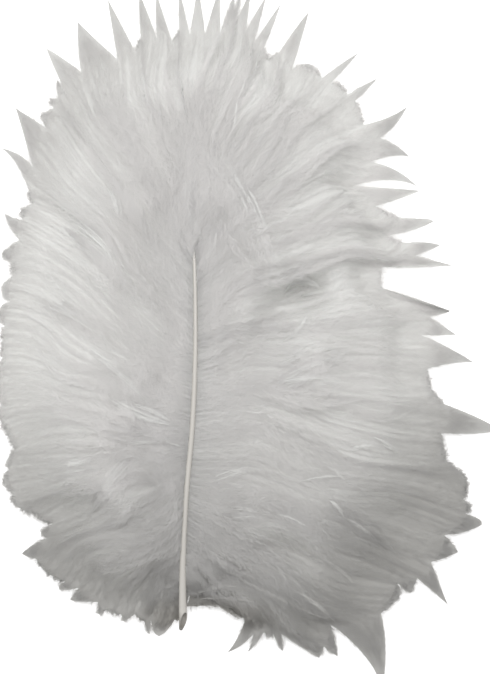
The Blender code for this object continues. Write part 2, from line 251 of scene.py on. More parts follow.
def on_shaft(y):
    """x, y, z and diameter of the shaft at each y, by a Catmull-Rom curve through its points."""
    y = np.asarray(y, float)
    i = np.clip(np.searchsorted(SHAFT[:, 1], y) - 1, 0, len(SHAFT) - 2)
    before, start, stop, after = (SHAFT[np.clip(i + k, 0, len(SHAFT) - 1)] for k in (-1, 0, 1, 2))
    u = ((y - start[..., 1]) / (stop[..., 1] - start[..., 1]))[..., None]
    bend = (2 * before - 5 * start + 4 * stop - after) * u**2 + (3 * start - before - 3 * stop + after) * u**3
    return start + 0.5 * ((stop - before) * u + bend)


def root_of(side, share):
    """x, y and z of the place where barbs of this share leave the shaft, a little over its sides."""
    centre = on_shaft(np.interp(share, *VANES[side]["roots"].T))
    return centre[..., :3] + centre[..., 3:] * (0.0, 0.0, 0.2)


def blend_locks(side, share, values):
    """Values that belong to the middles of the locks, blended between them."""
    middles = (np.arange(len(values)) + 0.5) / len(values)
    return np.stack([np.interp(share, middles, column) for column in values.T], -1)


for side, vane in VANES.items():
    notch, point = vane["notch"], vane["point"]
    vane["middle"] = (1 - RIM_BULGE) * (notch[:-1] + notch[1:]) / 2 + RIM_BULGE * point
    vane["width"] = np.linalg.norm(notch[1:] - notch[:-1], axis=1)
    spine, chord = point - vane["middle"], notch[1:] - notch[:-1]
    vane["length"] = np.linalg.norm(spine, axis=1)
    left_hand = np.stack([-spine[:, 1], spine[:, 0]], -1) / vane["length"][:, None]
    vane["bend"] = vane["middle"] + spine * 0.55 + left_hand * vane["hook"]
    outward = side * np.stack([chord[:, 1], -chord[:, 0]], -1)
    heading = spine + 0.6 * outward
    vane["heading"] = heading / np.linalg.norm(heading, axis=1)[:, None]
    roots = root_of(side, (np.arange(vane["locks"]) + 0.5) / vane["locks"])[:, :2]
    vane["reach"] = np.linalg.norm(point - roots, axis=1)[:, None]


def lock_of(side, share):
    """The number of the lock at each share, and the place across it from -1 to 1."""
    locks = VANES[side]["locks"]
    number = np.clip((share * locks).astype(int), 0, locks - 1)
    return number, np.clip(2 * (share * locks - number) - 1, -1, 1)


def place(side, share, out):
    """x and y in millimetres of each place on one vane."""
    vane = VANES[side]
    number, across = lock_of(side, share)
    near = np.where((across < 0)[..., None], vane["notch"][number], vane["notch"][number + 1])
    middle, point = vane["middle"][number], vane["point"][number]
    sideways = (near - middle) * np.abs(across)[..., None]
    rim = middle + sideways
    root = root_of(side, share)[..., :2]
    f = np.clip(out, 0, 1)[..., None]
    climb = np.radians(eased(share, vane["climb"]))
    leaving = np.stack([side * np.cos(climb), np.sin(climb)], -1)
    length = np.linalg.norm(rim - root, axis=-1)[..., None]
    first = root + leaving * length * 0.30
    heading = blend_locks(side, share, vane["heading"])
    second = 0.4 * (root + (rim - root) * 0.70 + leaving * length * 0.06) + 0.6 * (rim - heading * length * 0.26)
    inner = root * (1 - f) ** 3 + first * 3 * f * (1 - f) ** 2 + second * 3 * f * f * (1 - f) + rim * f**3
    g = np.clip(out - 1, 0, 1)[..., None]
    spine = middle * (1 - g) ** 2 + vane["bend"][number] * 2 * g * (1 - g) + point * g * g
    outer = spine + sideways * (1 - g) ** vane["taper"][number]
    stir = DRIFT * np.clip(4 * f, 0, 1) * np.clip(4 * (1 - f), 0, 1)
    return np.where(f < 1, inner + stir * drift(inner), outer)


print("reach of the longest lock, mm:", round(float(VANES[1]["reach"].max()), 1))

# %% [markdown]
# The fluff has height too. Barbs rise from the shaft, swell over the middle of the vane and come
# down to a thin rim. On that large form lie soft waves, long in the barbs' direction and narrow
# across it, where barbs cling together. Noise that is stretched along the barbs gives them.

# %% Heights of the fluff, in millimetres
CROWN = 10.6
RIM = 2.2
CROWN_BY_SHARE = [(0, 0.45), (0.22, 0.9), (0.5, 1), (0.62, 0.88), (0.75, 0.76), (1, 0.6)]
PROFILE = [(0, 0), (0.12, 0.42), (0.32, 0.86), (0.5, 1), (0.7, 0.8), (0.88, 0.4), (1, 0)]
FLAT_SHARE = 0.66
COVER = 2.5  # towards the tip, barbs lie this high over the shaft
# Swellings of the fluff (hollows, with a minus): x and y in the picture's dots, half length and
# half width in millimetres, the way it points in degrees from +X, and its height in millimetres
SWELLINGS = [
    (306, 292, 6.4, 3.6, 14, -8.2),
    (276, 323, 6.0, 3.2, 52, -3.6),
    (314, 376, 8.0, 6.0, 20, 3.4),
    (240, 355, 5.5, 3.6, 60, -1.7),
    (266, 246, 6.5, 1.7, 105, 0.9),
    (124, 430, 11.0, 2.6, 176, 1.5),
    (114, 494, 7.0, 4.2, 215, 2.6),
    (70, 474, 5.0, 3.0, 190, 1.0),
    (145, 175, 9.0, 5.0, 125, 1.8),
    (228, 205, 9.0, 3.4, 125, 1.6),
    (272, 262, 7.0, 2.4, 110, 1.4),
    (112, 278, 9.0, 2.8, 140, 1.2),
    (90, 350, 7.0, 2.5, 145, 0.9),
    (258, 528, 7.0, 4.0, -45, 2.4),
    (286, 550, 9.0, 3.0, -12, -3.8),
    (236, 572, 6.0, 2.6, 30, -2.6),
    (300, 592, 9.0, 3.0, -35, 1.6),
    (315, 535, 9.0, 3.5, -35, 1.2),
    (395, 520, 7.0, 4.0, -35, -2.2),
    (375, 478, 8.0, 3.0, -20, 1.0),
    (215, 606, 7.0, 3.0, -10, -2.6),
    (135, 575, 12.0, 6.0, 200, -0.8),
]
RAISED_RIM = [(376, 277, 4.0, 3.6, 0, 2.6)]  # rows of the same kind where the rim stands off the table
WAVES = 31  # large clumps of barbs on each side
TUFTS = 34  # small tufts on each side, each a soft swelling that falls off quickly at its end


def waves(side, share, f):
    """The soft relief where barbs cling together, in millimetres."""
    start = 400 * (side + 1)
    turn = share * WAVES + 0.8 * noise(share * 20 + start, f * 3, 5)
    large = 0.55 * noise(turn * 0.55 + start, f * 1.8, 1)
    small = 0.12 * noise(turn * 1.7 + start, f * 3.2 + 7, 2)
    fade = np.clip(f * 5, 0, 1) * np.clip((1.05 - f) * 4, 0, 1) * np.clip((1 - share) * 8, 0, 1)
    return (large + small) * fade


def tufts(seed):
    """Rows like those of SWELLINGS for the small tufts, but in millimetres, along the barbs' run."""
    random = np.random.default_rng(seed)
    rows = []
    for side in VANES:
        share = (np.arange(TUFTS) + random.uniform(0, 1, TUFTS)) / TUFTS * 0.96
        out = random.uniform(0.3, 0.95, TUFTS)
        here, ahead = place(side, share, out), place(side, share, out + 0.05)
        turn = np.degrees(np.arctan2(*(ahead - here).T[::-1])) + random.uniform(-24, 24, TUFTS)
        sizes = random.uniform((4.0, 1.6, 0.25), (8.0, 3.2, 0.7), (TUFTS, 3))
        rows.append(np.column_stack([here, sizes[:, :2], turn, sizes[:, 2]]))
    return np.concatenate(rows)


def relief(xy, rows):
    """The heights of all the rows' swellings together, each steeper at the end it points to."""
    total = np.zeros(xy.shape[:-1])
    for x, y, half_length, half_width, turn, height in rows:
        ahead = (math.cos(math.radians(turn)), math.sin(math.radians(turn)))
        u = ((xy - (x, y)) @ ahead) / half_length
        v = ((xy - (x, y)) @ (-ahead[1], ahead[0])) / half_width
        total += height * np.exp(-((u * (1 + 0.8 * (u > 0))) ** 2) - v * v)
    return total


SWELLINGS, RAISED_RIM = np.array(SWELLINGS, float), np.array(RAISED_RIM, float)
SWELLINGS[:, :2] = from_dots(SWELLINGS[:, :2], FLUFF_SEEN)
RAISED_RIM[:, :2] = from_dots(RAISED_RIM[:, :2], RIM_SEEN)
SWELLINGS = np.concatenate([SWELLINGS, tufts(8)])
print("swellings and hollows:", len(SWELLINGS))


def heights(side, share, out):
    """The bottom and the top of the fluff at each place."""
    number, across = lock_of(side, share)
    vane = VANES[side]
    f, g = np.clip(out, 0, 1), np.clip(out - 1, 0, 1)
    root = root_of(side, share)
    covered = eased(root[..., 1], [(11, 0), (27, 1)])
    seam = root[..., 2] + COVER * covered
    reach = blend_locks(side, share, vane["reach"])[..., 0]
    crown = CROWN * eased(share, CROWN_BY_SHARE) * np.clip(reach / 22, 0, 1)
    base = seam + (RIM - seam) * f
    top = base + np.maximum(crown - base, 0) * eased(f, PROFILE) + waves(side, share, f)
    inside = place(side, share, np.minimum(out, 1))
    top = top + relief(inside, SWELLINGS) * np.clip(f * 8 + covered, 0, 1)
    lift = (2.4 * (0.5 + 0.5 * np.sin(2.3 * number + 0.6)) - 0.8) * g * g
    lift = lift * np.clip(vane["length"][number] / 6, 0, 1) + relief(inside, RAISED_RIM)
    width = blend_locks(side, share, vane["width"][:, None])[..., 0]
    thick = np.minimum(0.5 + 0.12 * width, 1.4) * (1 - g) ** 1.3
    thick = thick * np.where(g > 0, 1 - np.abs(across) ** (2 + 8 * (1 - g) ** 4), 1)
    rim = np.clip((f - 0.62) / 0.38, 0, 1)
    rim = rim * rim * (3 - 2 * rim)
    top = top * (1 - rim) + (RIM + lift + thick) * rim
    curl = np.clip((f - FLAT_SHARE) / (1 - FLAT_SHARE), 0, 1)
    bottom = RIM * curl * curl * (1 - rim) + (RIM + lift - 0.5 * thick) * rim
    return bottom + 0.15, np.maximum(top, bottom + 0.2)


# %% [markdown]
# Under the visible barbs the down is packed so closely that no single strand shows. Modelling
# every strand there would waste triangles, so a soft body with the same form fills the inside.
# It is one smooth skin over and under the vane, which the barbs then cover.

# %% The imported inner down
ACROSS_A_LOCK = 6
OUTS = np.concatenate([np.linspace(0, 1, 30), 1 + np.linspace(0, 1, 9)[1:]])
COAT = 0.6  # thickness of the coat of barbs over the body, where there is room for it
RAGGED = 0.5  # locks that taper less than this end in small ragged teeth of loose barbs


def mesh_piece(name, places, faces, normals=None):
    """A smooth mesh object from places in millimetres and equal-sized faces, linked to the scene."""
    mesh = bpy.data.meshes.new(name)
    corners = faces.shape[1]
    mesh.vertices.add(len(places))
    mesh.vertices.foreach_set("co", (places * MM).astype(np.float32).ravel())
    mesh.loops.add(faces.size)
    mesh.loops.foreach_set("vertex_index", faces.astype(np.int32).ravel())
    mesh.polygons.add(len(faces))
    mesh.polygons.foreach_set("loop_start", np.arange(0, faces.size, corners, dtype=np.int32))
    mesh.update(calc_edges=True)
    mesh.polygons.foreach_set("use_smooth", np.ones(len(faces), bool))
    if normals is not None:
        mesh.normals_split_custom_set_from_vertices(normals / np.linalg.norm(normals, axis=1)[:, None])
    made = bpy.data.objects.new(name, mesh)
    bpy.context.scene.collection.objects.link(made)
    return made


def lock_skin(side, number, upper):
    """Places and faces of one lock's skin, from the shaft to its point."""
    locks = VANES[side]["locks"]
    share = np.linspace(number / locks + 1e-9, (number + 1) / locks - 1e-9, ACROSS_A_LOCK + 1)
    share, out = np.meshgrid(share, OUTS, indexing="ij")
    bottom, top = heights(side, share, out)
    coat = np.minimum(COAT, 0.4 * (top - bottom))
    z = top - coat if upper else bottom + 0.3 * coat
    reach = 0.7 if VANES[side]["taper"][number] < RAGGED else 1.0
    xy = place(side, share, np.where(out > 1, 1 + reach * (out - 1), out))
    xy[:, -1] = xy[:, -1].mean(axis=0)
    places = np.concatenate([xy, z[..., None]], -1).reshape(-1, 3)
    index = np.arange(share.size).reshape(share.shape)
    quads = np.stack([index[:-1, :-1], index[1:, :-1], index[1:, 1:], index[:-1, 1:]], -1).reshape(-1, 4)
    return places, quads if (side > 0) == upper else quads[:, ::-1]


def inner_down():
    """The whole soft body, its locks' skins welded where they meet."""
    all_places, all_faces, count = [], [], 0
    for side in VANES:
        for number in range(VANES[side]["locks"]):
            for upper in (True, False):
                places, faces = lock_skin(side, number, upper)
                all_places.append(places)
                all_faces.append(faces + count)
                count += len(places)
    body = mesh_piece("inner_down", np.concatenate(all_places), np.concatenate(all_faces))
    bm = bmesh.new()
    bm.from_mesh(body.data)
    bmesh.ops.remove_doubles(bm, verts=bm.verts[:], dist=0.01 * MM)
    bmesh.ops.dissolve_degenerate(bm, edges=bm.edges[:], dist=0.005 * MM)
    bm.to_mesh(body.data)
    bm.free()
    body.data.polygons.foreach_set("use_smooth", np.ones(len(body.data.polygons), bool))
    return body


body = inner_down()
print("inner down, faces:", len(body.data.polygons))

# %% [markdown]
# A barb is a fine flexible rod of horn-like keratin, here about 45 mm long and 0.1 mm thick. Barbs
# grow in a row on each side of the shaft. Long ones run out to a lock's point. Shorter ones lie
# over them and end in small wisps. Hair curves would draw them easily, but they can't be kept as
# a mesh, so each barb is a row of places on the plan, and a three-sided tube goes round it.

# %% Lay the barbs
STEPS = 20  # places along a barb
BARB_LOOK = (0.09, 6.0)  # thickness in millimetres, and how softly a barb is shaded
LOOSE_LOOK = (0.16, 1.6)


def along(values, steps):
    """Values of each barb repeated for its places."""
    return np.repeat(values[:, None], steps, axis=1)


def lay(side, share, out, sink, wander, strand, seed, below=False):
    """Places of barbs, in mm, that lie sink under the fluff's surface, or above its underside.

    They stray by wander to the side, and those with the same strand number stray together."""
    bottom, top = heights(side, share, out)
    xy = place(side, share, out)
    heading = np.gradient(xy, axis=1)
    heading /= np.linalg.norm(heading, axis=-1)[..., None] + 1e-9
    sideways = np.stack([-heading[..., 1], heading[..., 0]], -1)
    strand = along(strand, STEPS)
    free = np.clip(out * 3, 0, 1) * np.clip((1.1 - out) * 3, 0, 1)
    xy = xy + sideways * (wander * free * noise(strand, out * 3, seed))[..., None]
    sink = sink + 0.1 * free * noise(strand + 90, out * 4, seed + 1)
    z = bottom + sink if below else np.maximum(top - sink, bottom)
    return np.concatenate([xy, np.maximum(z, 0.12)[..., None]], -1)


def long_barbs(side, per_mm, seed):
    """Barbs that run out to the points of the outer locks, so many per mm of each lock's width."""
    random = np.random.default_rng(seed)
    vane = VANES[side]
    number = np.repeat(np.arange(vane["locks"]), np.maximum(4, vane["width"] * per_mm).astype(int))
    share = (np.arange(len(number)) - np.searchsorted(number, number) + random.uniform(0.3, 0.7, len(number)))
    share = (number + share / np.bincount(number)[number]) / vane["locks"]
    across = np.abs(lock_of(side, share)[1])
    teeth = 0.45 + 0.35 * noise(share * vane["locks"] * 3.3, np.full(len(share), 60.5), seed)
    short = np.where(vane["taper"][number, 0] < RAGGED, teeth, 0.75 * across * random.uniform(0, 1, len(number)))
    end = 2 - short
    out = np.linspace(0, 1, STEPS)[None, :] * end[:, None]
    sink = along(random.uniform(0.1, 0.5, len(number)), STEPS)
    return lay(side, along(share, STEPS), out, sink, 0.8, random.uniform(0, 250, len(number)), seed)


def over_barbs(side, wisps, a_wisp, seed):
    """Shorter barbs in wisps, whose barbs run together at their ends, over the others."""
    random = np.random.default_rng(seed)
    middle = np.repeat((np.arange(wisps) + random.uniform(0.1, 0.9, wisps)) / wisps, a_wisp)
    reach = np.repeat(random.uniform(0.35, 1.05, wisps), a_wisp)
    across = np.tile(np.linspace(-1, 1, a_wisp), wisps)
    out = np.linspace(0, 1, STEPS)[None, :] * (reach * random.uniform(0.88, 1.0, wisps * a_wisp))[:, None]
    gather = 1 - 0.85 * (out / reach[:, None]) ** 2.2
    share = middle[:, None] + 0.55 / WAVES * across[:, None] * gather
    lift = 0.4 * (out / reach[:, None]) ** 3
    sink = along(random.uniform(-0.1, 0.3, wisps * a_wisp), STEPS) - lift
    strand = np.repeat(random.uniform(0, 250, wisps), a_wisp) + random.uniform(0, 0.15, wisps * a_wisp)
    return lay(side, np.clip(share, 0.002, 0.998), out, sink, 3.2, strand, seed)


def under_barbs(side, count, seed):
    """Barbs that lie on the table, so that the underside is finished as well."""
    random = np.random.default_rng(seed)
    share = along((np.arange(count) + random.uniform(0.2, 0.8, count)) / count, STEPS)
    out = np.linspace(0, 1, STEPS)[None, :] * random.uniform(1.0, 1.8, count)[:, None]
    sink = along(random.uniform(0.0, 0.2, count), STEPS)
    return lay(side, share, out, sink, 0.8, random.uniform(0, 250, count), seed, below=True)


def top_map():
    """The height of the fluff's top over an even lattice of cells on plan."""
    share, out = np.meshgrid(np.linspace(0.001, 0.999, 900), np.linspace(0, 1.6, 150), indexing="ij")
    total, count = np.zeros(MAP_CELLS), np.zeros(MAP_CELLS)
    for side in VANES:
        i, j = ((place(side, share, out).reshape(-1, 2) - MAP_CORNER) / CELL).astype(int).T
        np.add.at(total, (i, j), heights(side, share, out)[1].ravel())
        np.add.at(count, (i, j), 1)
    for _ in range(3):
        total, count = [sum(np.roll(sheet, step, axis) for axis in (0, 1) for step in (-1, 0, 1))
                        for sheet in (total, count)]
    return total / np.maximum(count, 1e-6)


def strays(rows, sag, seed):
    """Barbs in small bundles that lie over the others: out of the fluff, along it and to a point.

    Over a hollow they hang no lower than sag under the straight line between their ends."""
    random = np.random.default_rng(seed)
    top = top_map()
    paths = []
    for x0, y0, x1, y1, bend, width, count in rows:
        start, end = from_dots([(x0, y0), (x1, y1)], FLUFF_SEEN)
        left_hand = np.array([start[1] - end[1], end[0] - start[0]]) / np.linalg.norm(end - start)
        first, last = random.uniform(0, 0.3, (count, 1, 1)), random.uniform(0.75, 1.0, (count, 1, 1))
        t = first + (last - first) * np.linspace(0, 1, STEPS)[None, :, None]
        bends = bend * random.uniform(0.75, 1.25, (count, 1, 1))
        line = start * (1 - t) ** 2 + ((start + end) / 2 + 2 * bends * left_hand) * 2 * t * (1 - t) + end * t * t
        line = line + left_hand * 0.4 * width * random.normal(0, 1, (count, 1, 1)) * (1 - 0.6 * t * t)
        u, v = np.moveaxis((line - MAP_CORNER) / CELL - 0.5, -1, 0)
        z = between(top, u, v)[..., None]
        straight = z[:, :1] + (z[:, -1:] - z[:, :1]) * np.linspace(0, 1, STEPS)[None, :, None]
        z = np.maximum(z, straight - sag) + random.uniform(-0.2, 0.25, (count, 1, 1))
        paths.append(np.concatenate([line, z - 0.6 * (1 - (t - first)) ** 8], -1))
    return np.concatenate(paths)


def tubes(paths, thick, softening):
    """Places, triangles and normals of a three-sided tube round each path, tapering to its end.

    Softening is the share of the fluff's own upward normal in the tube's shading."""
    count, steps, _ = paths.shape
    forward = np.gradient(paths, axis=1)
    forward /= np.linalg.norm(forward, axis=-1)[..., None] + 1e-9
    across = np.cross(forward, (0.0, 0.0, 1.0))
    across /= np.linalg.norm(across, axis=-1)[..., None] + 1e-9
    up = np.cross(across, forward)
    taper = 0.5 * thick * (1 - 0.8 * np.linspace(0, 1, steps))[None, :, None]
    corners = [across * math.cos(turn) + up * math.sin(turn) for turn in (0.5, 2.6, 4.7)]
    places = np.stack([paths + corner * taper for corner in corners], 2)
    index = np.arange(places.size // 3).reshape(count, steps, 3)
    faces = []
    for corner in range(3):
        a, b = index[:, :-1, corner], index[:, 1:, corner]
        c, d = index[:, 1:, (corner + 1) % 3], index[:, :-1, (corner + 1) % 3]
        faces += [np.stack([a, b, c], -1), np.stack([a, c, d], -1)]
    faces += [index[:, :1, ::-1], index[:, -1:, :]]
    faces = np.concatenate([part.reshape(-1, 3) for part in faces])
    normals = np.stack([corner + softening * up for corner in corners], 2)
    return places.reshape(-1, 3), faces, normals.reshape(-1, 3)


# Loose bundles, in the picture's dots: x and y of the start, x and y of the end, the bend to its
# left and the width in millimetres, and how many barbs it has. Veils are broad and thin.
VEILS = [
    (92, 84, 150, 176, -1.0, 4.5, 26),
    (118, 110, 166, 206, -0.8, 4.0, 24),
    (128, 84, 176, 160, 0.5, 3.5, 18),
    (150, 104, 222, 182, -0.6, 3.5, 22),
    (186, 134, 246, 236, 0.8, 4.0, 26),
    (208, 160, 272, 284, -0.8, 5.0, 16),
    (176, 176, 188, 244, 0.6, 3.0, 14),
    (236, 120, 216, 200, 0.6, 3.0, 14),
    (60, 226, 142, 306, 1.2, 3.0, 20),
    (30, 296, 120, 352, 0.8, 3.0, 18),
    (150, 452, 84, 520, -1.0, 4.0, 24),
    (172, 424, 84, 422, 0.8, 3.0, 18),
    (270, 392, 346, 350, 0.6, 4.0, 22),
    (214, 516, 270, 520, 0.5, 3.0, 16),
    (262, 500, 330, 548, 0.8, 3.0, 16),
    (232, 578, 330, 622, 1.0, 3.0, 18),
    (320, 500, 400, 560, 0.8, 3.0, 16),
    (300, 90, 250, 180, 0.5, 3.5, 16),
    (360, 200, 280, 240, 0.8, 3.5, 16),
    (194, 262, 176, 150, 0.8, 2.4, 14),
    (191, 256, 212, 150, -0.6, 2.4, 14),
    (193, 240, 184, 110, 0.5, 2.6, 14),
    (190, 226, 204, 96, -0.5, 2.6, 14),
    (196, 210, 188, 84, 0.4, 2.6, 14),
    (199, 250, 226, 170, -0.6, 2.4, 12),
    (188, 248, 160, 176, 0.6, 2.4, 12),
    (186, 190, 206, 70, -0.4, 2.6, 12),
    (254, 200, 270, 276, 0.4, 2.6, 10),
    (195, 262, 188, 218, 0.1, 0.7, 12),
    (191, 258, 199, 212, -0.1, 0.8, 12),
]
WISPS = [
    (206, 154, 218, 169, 0.2, 0.5, 5),
    (181, 162, 184, 202, 0.4, 0.4, 3),
    (184, 204, 204, 240, -0.4, 0.5, 4),
    (190, 206, 180, 240, 0.3, 0.4, 3),
    (216, 228, 214, 248, 0.1, 0.4, 4),
    (236, 176, 268, 272, 1.2, 1.6, 7),
    (204, 140, 252, 214, 0.5, 2.0, 9),
    (110, 186, 119, 218, 0.3, 1.0, 8),
    (64, 230, 140, 302, 1.2, 1.6, 18),
    (76, 222, 118, 264, 0.5, 1.0, 8),
    (40, 300, 112, 342, 0.6, 1.2, 10),
    (88, 352, 152, 408, 0.5, 0.7, 8),
    (104, 396, 174, 426, -0.6, 0.9, 12),
    (128, 402, 172, 423, 0.5, 0.5, 6),
    (118, 446, 162, 443, 0.5, 0.5, 5),
    (150, 438, 186, 451, 0.4, 0.4, 4),
    (132, 456, 100, 496, -0.4, 1.4, 14),
    (128, 476, 90, 516, -0.4, 1.0, 9),
    (96, 456, 56, 466, 0.3, 1.0, 9),
    (285, 292, 322, 289, 1.9, 0.25, 9),
    (290, 287, 324, 292, 1.4, 0.25, 8),
    (283, 298, 312, 288, 0.8, 0.25, 6),
    (300, 296, 338, 291, 0.4, 0.3, 6),
    (268, 340, 287, 322, 0.4, 0.6, 6),
    (282, 343, 309, 312, -0.5, 0.4, 4),
    (278, 384, 324, 379, 0.4, 1.4, 12),
    (276, 376, 350, 350, 0.8, 2.6, 20),
    (292, 368, 316, 344, 0.4, 1.2, 10),
    (324, 370, 348, 352, 0.3, 0.8, 7),
    (222, 482, 252, 494, 0.3, 0.4, 3),
    (212, 482, 264, 468, 0.5, 0.9, 5),
    (228, 518, 258, 516, 0.4, 1.5, 14),
    (270, 512, 313, 531, 0.6, 0.8, 6),
    (298, 483, 346, 477, 0.5, 0.5, 5),
    (322, 463, 346, 481, 0.4, 0.5, 5),
    (328, 500, 344, 518, 0.3, 0.5, 5),
    (332, 514, 378, 542, 0.6, 0.7, 8),
    (352, 514, 398, 556, 0.5, 0.7, 7),
    (310, 558, 354, 586, 0.8, 0.5, 5),
    (272, 566, 286, 582, 0.4, 0.5, 3),
    (228, 578, 332, 626, 0.9, 1.0, 10),
    (288, 588, 338, 628, 0.8, 0.7, 7),
    (190, 600, 246, 588, 0.6, 0.5, 5),
    (198, 604, 262, 604, 0.4, 0.4, 4),
    (372, 438, 404, 458, 0.3, 0.6, 6),
    (348, 452, 378, 446, 0.3, 0.5, 5),
    (252, 54, 237, 102, 0.2, 0.2, 3),
    (238, 96, 232, 134, 0.2, 0.5, 4),
]
CELL = 0.5
MAP_CORNER = (-55.0, -75.0)
MAP_CELLS = (220, 300)

layers = {}
for side, word in ((-1, "left"), (1, "right")):
    layers[f"long_{word}"] = long_barbs(side, 2.2, 20 + side)
    layers[f"over_{word}"] = over_barbs(side, 70, 5, 40 + side)
    layers[f"under_{word}"] = under_barbs(side, 124, 60 + side)
layers["veil"] = strays(VEILS, 9.0, 90)
layers["loose"] = strays(WISPS, 0.3, 80)
pieces = [body]
for kind in ("long", "over", "under", "veil", "loose"):
    paths = np.concatenate([paths for name, paths in layers.items() if name.startswith(kind)])
    pieces.append(mesh_piece(f"{kind}_barbs", *tubes(paths, *(LOOSE_LOOK if kind == "loose" else BARB_LOOK))))
    print(kind, "barbs:", len(paths), "faces:", len(pieces[-1].data.polygons))

# %% [markdown]
# Down is soft because its barbules, the hairs on each barb, have no hooks. They are 1 to 3 mm long
# and only about 0.01 mm thick, far finer than one dot of the picture. Each is drawn here as one
# long thin triangle, several times too wide, with fewer of them to make up for it. They lean
# towards the barb's end, which gives down its silky streaks.

# %% Grow the barbules
BARBULES = {  # how many a millimetre, and their length in millimetres
    "long": (9, 1.9),
    "over": (11, 1.9),
    "under": (6, 1.9),
    "veil": (10, 1.9),
    "loose": (7, 0.9),
}
BARBULE_WIDTH = 0.045
BARBULE_LEAN = (16, 38)  # degrees from the barb's own direction


def barbules(paths, per_mm, longest, seed):
    """Places, triangles and normals of barbules along the paths."""
    random = np.random.default_rng(seed)
    steps = paths.shape[1]
    length = np.linalg.norm(np.diff(paths, axis=1), axis=-1).sum(1)
    number = np.maximum((length * per_mm).astype(int), 1)
    barb = np.repeat(np.arange(len(paths)), number)
    t = random.uniform(0.03, 1.0, len(barb))
    i = np.minimum((t * (steps - 1)).astype(int), steps - 2)
    near, far = paths[barb, i], paths[barb, i + 1]
    base = near + (far - near) * (t * (steps - 1) - i)[:, None]
    forward = far - near
    forward /= np.linalg.norm(forward, axis=1)[:, None] + 1e-9
    across = np.cross(forward, (0.0, 0.0, 1.0))
    across /= np.linalg.norm(across, axis=1)[:, None] + 1e-9
    up = np.cross(across, forward)
    lean = np.radians(random.uniform(*BARBULE_LEAN, len(t)))[:, None]
    hand = random.choice([-1.0, 1.0], len(t))[:, None]
    rise = np.radians(random.uniform(-12, 25, len(t)))[:, None]
    away = across * hand * np.cos(rise) + up * np.sin(rise)
    heading = forward * np.cos(lean) + away * np.sin(lean)
    grow = random.uniform(0.6, 1.1, len(t)) * np.clip((1.0 - t) * 3, 0.08, 1) * np.clip(t * 8, 0.2, 1)
    tip = base + heading * (longest * grow)[:, None]
    tip[:, 2] = np.maximum(tip[:, 2], 0.05)
    flat = np.cross(heading, up + across * random.uniform(-0.4, 0.4, len(t))[:, None])
    flat *= 0.5 * BARBULE_WIDTH / (np.linalg.norm(flat, axis=1)[:, None] + 1e-9)
    places = np.stack([base - flat, base + flat, tip], 1).reshape(-1, 3)
    return places, np.arange(len(places)).reshape(-1, 3), np.repeat(up, 3, axis=0)


for name, paths in layers.items():
    made = barbules(paths, *BARBULES[name.split("_")[0]], 100 + len(pieces))
    pieces.append(mesh_piece(f"barbules_{name}", *made))
    print("barbules", name, len(made[1]))

# %% [markdown]
# The shaft is a rod of solid keratin. It is thickest in its middle third, and ends below in the quill, a short hollow
# tube that is cut off square. A lofted tube shows this better than a curve with a round bevel would.

# %% The shaft and quill
SHAFT_RINGS = 90
SHAFT_SIDES = 20
SLANT = 3.6  # the quill is cut off at a slant, which runs back this far at its upper right
WALL = 0.76  # the hollow's share of the quill's diameter


def shaft_piece():
    """The shaft as a closed tube, open into a short hollow at the quill's end."""
    y = np.linspace(SHAFT[0, 1], SHAFT[-1, 1], SHAFT_RINGS)
    line = on_shaft(y)
    centre, radius = line[:, :3], 0.5 * line[:, 3]
    turn = np.linspace(0, 2 * math.pi, SHAFT_SIDES, endpoint=False)
    forward = np.gradient(centre, axis=0)
    forward /= np.linalg.norm(forward, axis=1)[:, None]
    across = np.cross(forward, (0.0, 0.0, 1.0))
    across /= np.linalg.norm(across, axis=1)[:, None]
    up = np.cross(across, forward)
    rings = []
    for k in range(SHAFT_RINGS):
        ring = across[k] * np.cos(turn)[:, None] + up[k] * np.sin(turn)[:, None]
        slant = SLANT * (0.5 + 0.5 * np.cos(turn - 0.9))[:, None] * max(0.0, 1 - k / 7)
        rings.append(centre[k] + ring * radius[k] + forward[k] * slant)
    hollow = [centre[k] + (rings[k] - centre[k]) * (WALL, 1.0, WALL) for k in (0, 1, 2, 3, 4)]
    rings = hollow[::-1] + rings
    places = np.concatenate(rings)
    index = np.arange(len(places)).reshape(-1, SHAFT_SIDES)
    beside = np.roll(index, -1, axis=1)
    quads = np.stack([index[:-1], beside[:-1], beside[1:], index[1:]], -1).reshape(-1, 4)
    made = mesh_piece("shaft", places, quads)
    bm = bmesh.new()
    bm.from_mesh(made.data)
    bmesh.ops.holes_fill(bm, edges=[edge for edge in bm.edges if edge.is_boundary], sides=0)
    bmesh.ops.recalc_face_normals(bm, faces=bm.faces[:])
    bm.to_mesh(made.data)
    bm.free()
    return made


shaft = shaft_piece()
print("shaft, faces:", len(shaft.data.polygons))

# %% [markdown]
# Down is keratin with no pigment. Its strands scatter light from both of their faces, so a barb shows the light that
# falls on it and some of the light behind it. A Principled shader with keratin's IOR of 1.55 gives the first, and a
# Translucent shader mixed in gives the second. The colour wanders a little, as washed down does, from clean white to
# faintly grey. Shade is painted into it as well: the down is painted greyer towards the quill and at the rims and
# points, a painted shadow darkens it round the quill's mouth, the packed inner down is painted darker and the loose
# strands lighter, and the quill's hollow end is painted darker.

# %% Materials
KERATIN_IOR = 1.55
# Painted shade: the down is painted greyer towards the quill, darker towards the feather's bottom
PAINTED_SHADE_WAY = (-0.16, 0.96, 0.0)  # down gets greyer towards the quill
# Ovals on plan in millimetres: x and y of the middle, and half width and half length
RIM_OVAL = (-3.6, 1.2, 36.6, 51.4)  # painted shade: greyer outside it, which darkens the rims and points
QUILL_SHADOW_OVAL = (-7.2, -49.4, 10.0, 2.8)  # painted shadow: darker in it, round the quill's mouth


def colour(hex_code):
    """An sRGB hex colour as linear red, green, blue and an alpha of one."""
    parts = [int(hex_code[i:i + 2], 16) / 255 for i in (1, 3, 5)]
    return (*[part / 12.92 if part <= 0.04045 else ((part + 0.055) / 1.055) ** 2.4 for part in parts], 1)


